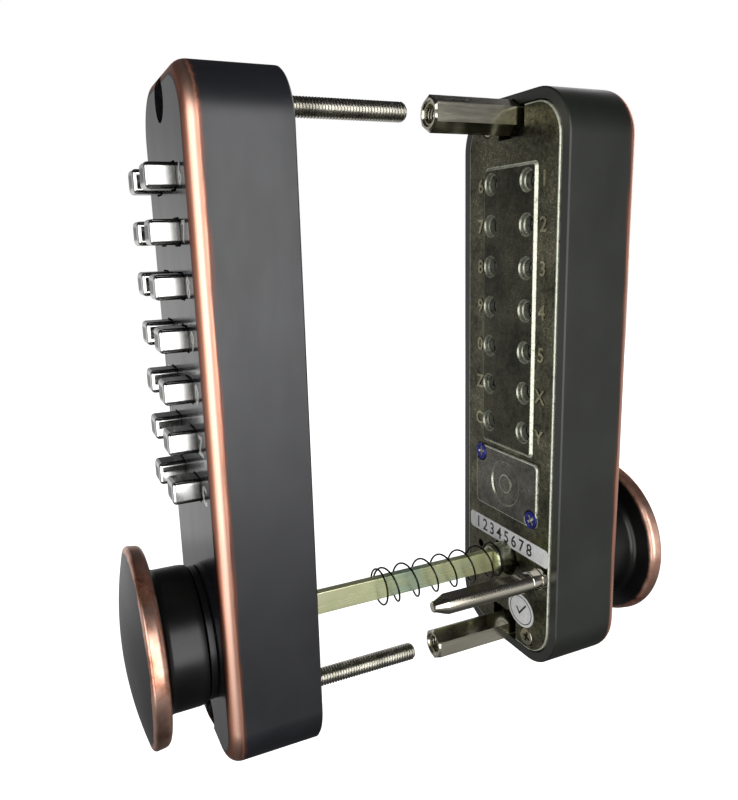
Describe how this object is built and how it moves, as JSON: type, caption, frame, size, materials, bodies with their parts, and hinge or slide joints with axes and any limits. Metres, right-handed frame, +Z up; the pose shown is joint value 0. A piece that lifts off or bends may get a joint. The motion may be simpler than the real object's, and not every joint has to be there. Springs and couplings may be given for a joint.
{
  "type": "keypad door lock",
  "caption": "Mechanical keypad door lock in two matching halves with lettered and numbered push buttons, mushroom knobs, clamp bolts, hex sleeves and a sprung spindle, shown drawn apart.",
  "frame": {"origin": "the indoor half's door face, on its centre line half way up", "axes": "+Z up, +Y from the indoor half through the door to the outdoor half, +X to the right of a person facing the indoor keypad"},
  "size_m": [0.0484, 0.1536, 0.16],
  "materials": {
    "bronze_case": "oil-rubbed bronze, satin black worn to copper on its edges",
    "bronze_knob": "oil-rubbed bronze, satin black worn to copper on its rim",
    "zinc_plate": "yellow-passivated zinc, mottled",
    "chrome_button": "polished, brushed on the flats",
    "steel": "plain stainless",
    "nickel": "bright nickel plate",
    "yellow_zinc": "iridescent yellow-green passivated zinc",
    "blue_lacquer": "clear blue thread-lock lacquer over steel",
    "spring_wire": "blackened wire",
    "label_paper": "matt white vinyl",
    "legend_silver": "silver filled legend"
  },
  "bodies": {
    "indoor_half": {"indoor_case": "bronze_case", "indoor_back_plate": "zinc_plate", "indoor_code_cover": "zinc_plate", "indoor_knob_collar": "bronze_case", "indoor_knob_spring": "spring_wire", "indoor_cover_screw_1": "blue_lacquer", "indoor_cover_screw_2": "blue_lacquer", "indoor_plate_screw_1": "steel", "indoor_plate_screw_2": "steel", "bolt_upper": "steel", "bolt_lower": "steel"},
    "outdoor_half": {"outdoor_case": "bronze_case", "outdoor_back_plate": "zinc_plate", "outdoor_code_cover": "zinc_plate", "outdoor_knob_collar": "bronze_case", "outdoor_knob_spring": "spring_wire", "outdoor_cover_screw_1": "blue_lacquer", "outdoor_cover_screw_2": "blue_lacquer", "outdoor_plate_screw_1": "steel", "outdoor_plate_screw_2": "steel", "sleeve_upper": "nickel", "sleeve_lower": "nickel", "steady_pin": "nickel", "spindle_spring": "spring_wire"},
    "indoor_knob_set": {"indoor_knob": "bronze_knob", "indoor_hub": "nickel", "spindle": "yellow_zinc"},
    "outdoor_knob_set": {"outdoor_knob": "bronze_knob", "outdoor_hub": "nickel"},
    "indoor_slide": {"indoor_lock_slide": "steel"},
    "outdoor_slide": {"outdoor_lock_slide": "steel"},
    "indoor_key_1": {"indoor_button_1": "chrome_button"},
    "indoor_key_6": {"indoor_button_6": "chrome_button"},
    "indoor_key_2": {"indoor_button_2": "chrome_button"},
    "indoor_key_7": {"indoor_button_7": "chrome_button"},
    "indoor_key_3": {"indoor_button_3": "chrome_button"},
    "indoor_key_8": {"indoor_button_8": "chrome_button"},
    "indoor_key_4": {"indoor_button_4": "chrome_button"},
    "indoor_key_9": {"indoor_button_9": "chrome_button"},
    "indoor_key_5": {"indoor_button_5": "chrome_button"},
    "indoor_key_0": {"indoor_button_0": "chrome_button"},
    "indoor_key_x": {"indoor_button_x": "chrome_button"},
    "indoor_key_z": {"indoor_button_z": "chrome_button"},
    "indoor_key_y": {"indoor_button_y": "chrome_button"},
    "indoor_key_c": {"indoor_button_c": "chrome_button"},
    "outdoor_key_1": {"outdoor_button_1": "chrome_button"},
    "outdoor_key_6": {"outdoor_button_6": "chrome_button"},
    "outdoor_key_2": {"outdoor_button_2": "chrome_button"},
    "outdoor_key_7": {"outdoor_button_7": "chrome_button"},
    "outdoor_key_3": {"outdoor_button_3": "chrome_button"},
    "outdoor_key_8": {"outdoor_button_8": "chrome_button"},
    "outdoor_key_4": {"outdoor_button_4": "chrome_button"},
    "outdoor_key_9": {"outdoor_button_9": "chrome_button"},
    "outdoor_key_5": {"outdoor_button_5": "chrome_button"},
    "outdoor_key_0": {"outdoor_button_0": "chrome_button"},
    "outdoor_key_x": {"outdoor_button_x": "chrome_button"},
    "outdoor_key_z": {"outdoor_button_z": "chrome_button"},
    "outdoor_key_y": {"outdoor_button_y": "chrome_button"},
    "outdoor_key_c": {"outdoor_button_c": "chrome_button"}
  },
  "joints": [
    {"name": "door_clamp", "type": "slide", "parent": "indoor_half", "child": "outdoor_half", "axis": [0, -1, 0], "range_m": [0, 0.028], "deforming": ["spindle_spring"]},
    {"name": "knob_turn", "type": "hinge", "parent": "indoor_half", "child": "indoor_knob_set", "pos_m": [0, 0, -0.0515], "axis": [0, 1, 0], "range_deg": [-45, 90], "stiffness_Nm_per_rad": 0.1},
    {"name": "outdoor_knob_turn", "type": "hinge", "parent": "outdoor_half", "child": "outdoor_knob_set", "pos_m": [0, 0, -0.0515], "axis": [0, 1, 0], "range_deg": [-45, 90], "stiffness_Nm_per_rad": 0.1},
    {"name": "indoor_slide_lift", "type": "slide", "parent": "indoor_half", "child": "indoor_slide", "axis": [0, 0, 1], "range_m": [-0.0016, 0.0031]},
    {"name": "outdoor_slide_lift", "type": "slide", "parent": "outdoor_half", "child": "outdoor_slide", "axis": [0, 0, 1], "range_m": [-0.0016, 0.0031]},
    {"name": "indoor_press_1", "type": "slide", "parent": "indoor_half", "child": "indoor_key_1", "axis": [0, 1, 0], "range_m": [0, 0.0022], "stiffness_N_per_m": 400},
    {"name": "indoor_press_6", "type": "slide", "parent": "indoor_half", "child": "indoor_key_6", "axis": [0, 1, 0], "range_m": [0, 0.0022], "stiffness_N_per_m": 400},
    {"name": "indoor_press_2", "type": "slide", "parent": "indoor_half", "child": "indoor_key_2", "axis": [0, 1, 0], "range_m": [0, 0.0022], "stiffness_N_per_m": 400},
    {"name": "indoor_press_7", "type": "slide", "parent": "indoor_half", "child": "indoor_key_7", "axis": [0, 1, 0], "range_m": [0, 0.0022], "stiffness_N_per_m": 400},
    {"name": "indoor_press_3", "type": "slide", "parent": "indoor_half", "child": "indoor_key_3", "axis": [0, 1, 0], "range_m": [0, 0.0022], "stiffness_N_per_m": 400},
    {"name": "indoor_press_8", "type": "slide", "parent": "indoor_half", "child": "indoor_key_8", "axis": [0, 1, 0], "range_m": [0, 0.0022], "stiffness_N_per_m": 400},
    {"name": "indoor_press_4", "type": "slide", "parent": "indoor_half", "child": "indoor_key_4", "axis": [0, 1, 0], "range_m": [0, 0.0022], "stiffness_N_per_m": 400},
    {"name": "indoor_press_9", "type": "slide", "parent": "indoor_half", "child": "indoor_key_9", "axis": [0, 1, 0], "range_m": [0, 0.0022], "stiffness_N_per_m": 400},
    {"name": "indoor_press_5", "type": "slide", "parent": "indoor_half", "child": "indoor_key_5", "axis": [0, 1, 0], "range_m": [0, 0.0022], "stiffness_N_per_m": 400},
    {"name": "indoor_press_0", "type": "slide", "parent": "indoor_half", "child": "indoor_key_0", "axis": [0, 1, 0], "range_m": [0, 0.0022], "stiffness_N_per_m": 400},
    {"name": "indoor_press_x", "type": "slide", "parent": "indoor_half", "child": "indoor_key_x", "axis": [0, 1, 0], "range_m": [0, 0.0022], "stiffness_N_per_m": 400},
    {"name": "indoor_press_z", "type": "slide", "parent": "indoor_half", "child": "indoor_key_z", "axis": [0, 1, 0], "range_m": [0, 0.0022], "stiffness_N_per_m": 400},
    {"name": "indoor_press_y", "type": "slide", "parent": "indoor_half", "child": "indoor_key_y", "axis": [0, 1, 0], "range_m": [0, 0.0022], "stiffness_N_per_m": 400},
    {"name": "indoor_press_c", "type": "slide", "parent": "indoor_half", "child": "indoor_key_c", "axis": [0, 1, 0], "range_m": [0, 0.0022], "stiffness_N_per_m": 400},
    {"name": "outdoor_press_1", "type": "slide", "parent": "outdoor_half", "child": "outdoor_key_1", "axis": [0, -1, 0], "range_m": [0, 0.0022], "stiffness_N_per_m": 400},
    {"name": "outdoor_press_6", "type": "slide", "parent": "outdoor_half", "child": "outdoor_key_6", "axis": [0, -1, 0], "range_m": [0, 0.0022], "stiffness_N_per_m": 400},
    {"name": "outdoor_press_2", "type": "slide", "parent": "outdoor_half", "child": "outdoor_key_2", "axis": [0, -1, 0], "range_m": [0, 0.0022], "stiffness_N_per_m": 400},
    {"name": "outdoor_press_7", "type": "slide", "parent": "outdoor_half", "child": "outdoor_key_7", "axis": [0, -1, 0], "range_m": [0, 0.0022], "stiffness_N_per_m": 400},
    {"name": "outdoor_press_3", "type": "slide", "parent": "outdoor_half", "child": "outdoor_key_3", "axis": [0, -1, 0], "range_m": [0, 0.0022], "stiffness_N_per_m": 400},
    {"name": "outdoor_press_8", "type": "slide", "parent": "outdoor_half", "child": "outdoor_key_8", "axis": [0, -1, 0], "range_m": [0, 0.0022], "stiffness_N_per_m": 400},
    {"name": "outdoor_press_4", "type": "slide", "parent": "outdoor_half", "child": "outdoor_key_4", "axis": [0, -1, 0], "range_m": [0, 0.0022], "stiffness_N_per_m": 400},
    {"name": "outdoor_press_9", "type": "slide", "parent": "outdoor_half", "child": "outdoor_key_9", "axis": [0, -1, 0], "range_m": [0, 0.0022], "stiffness_N_per_m": 400},
    {"name": "outdoor_press_5", "type": "slide", "parent": "outdoor_half", "child": "outdoor_key_5", "axis": [0, -1, 0], "range_m": [0, 0.0022], "stiffness_N_per_m": 400},
    {"name": "outdoor_press_0", "type": "slide", "parent": "outdoor_half", "child": "outdoor_key_0", "axis": [0, -1, 0], "range_m": [0, 0.0022], "stiffness_N_per_m": 400},
    {"name": "outdoor_press_x", "type": "slide", "parent": "outdoor_half", "child": "outdoor_key_x", "axis": [0, -1, 0], "range_m": [0, 0.0022], "stiffness_N_per_m": 400},
    {"name": "outdoor_press_z", "type": "slide", "parent": "outdoor_half", "child": "outdoor_key_z", "axis": [0, -1, 0], "range_m": [0, 0.0022], "stiffness_N_per_m": 400},
    {"name": "outdoor_press_y", "type": "slide", "parent": "outdoor_half", "child": "outdoor_key_y", "axis": [0, -1, 0], "range_m": [0, 0.0022], "stiffness_N_per_m": 400},
    {"name": "outdoor_press_c", "type": "slide", "parent": "outdoor_half", "child": "outdoor_key_c", "axis": [0, -1, 0], "range_m": [0, 0.0022], "stiffness_N_per_m": 400}
  ],
  "couplings": [
    {"joint": "outdoor_knob_turn", "follows": "knob_turn", "ratio": 1},
    {"joint": "indoor_slide_lift", "follows": "knob_turn", "m_per_rad": 0.0019},
    {"joint": "outdoor_slide_lift", "follows": "knob_turn", "m_per_rad": 0.0019}
  ]
}
